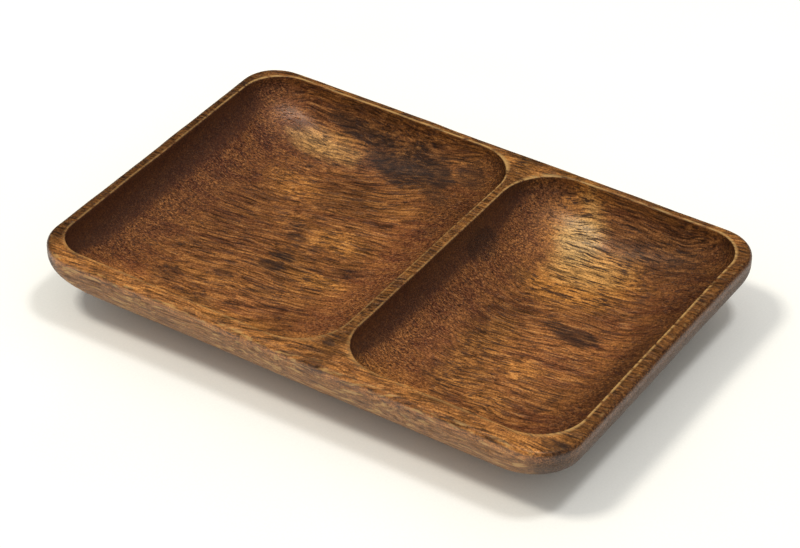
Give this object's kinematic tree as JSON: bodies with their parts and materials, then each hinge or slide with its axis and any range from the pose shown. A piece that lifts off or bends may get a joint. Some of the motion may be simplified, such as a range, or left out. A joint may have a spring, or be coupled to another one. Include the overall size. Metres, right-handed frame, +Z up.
{
  "type": "two compartment serving tray",
  "caption": "Shallow rectangular wooden serving tray carved from one block, with a large hollow for chips and a small hollow for dip, split by a narrow divider.",
  "frame": {"origin": "centre of the base on the table, below the middle of the overall box", "axes": "+X along the grain from the large compartment to the small one, +Y towards the back, +Z up out of the compartments"},
  "size_m": [0.305, 0.203, 0.038],
  "materials": {
    "carved_wood": "oiled satin hardwood with dark figure, grain along X"
  },
  "bodies": {
    "root": {"tray_body": "carved_wood"}
  },
  "joints": []
}
